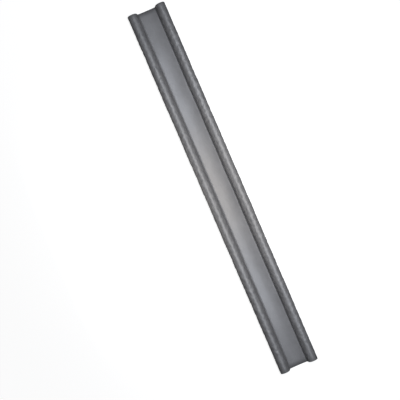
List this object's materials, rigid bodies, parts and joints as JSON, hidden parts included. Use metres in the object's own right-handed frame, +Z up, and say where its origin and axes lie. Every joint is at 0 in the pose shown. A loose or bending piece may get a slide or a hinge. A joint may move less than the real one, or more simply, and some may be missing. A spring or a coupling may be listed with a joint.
{
  "type": "door bottom seal",
  "caption": "Under-door draught seal: a grey coated-fabric cover with a flat web between padded sleeves that hold foam rods, straddling the bottom edge of a door leaf.",
  "frame": {"origin": "middle of the flat underside, halfway along the seal and halfway across it, on the floor", "axes": "+X along the seal, +Y across it towards the left sleeve, +Z up from the floor to the crests of the sleeves"},
  "size_m": [0.95, 0.0982, 0.0242],
  "materials": {
    "cover_fabric": "tightly woven polyester with a thin satin coating, mid to dark neutral grey",
    "rod_foam": "closed-cell polyethylene foam, pale grey, matt"
  },
  "bodies": {
    "root": {"cover": "cover_fabric", "foam_rod_left": "rod_foam", "foam_rod_right": "rod_foam"}
  },
  "joints": []
}
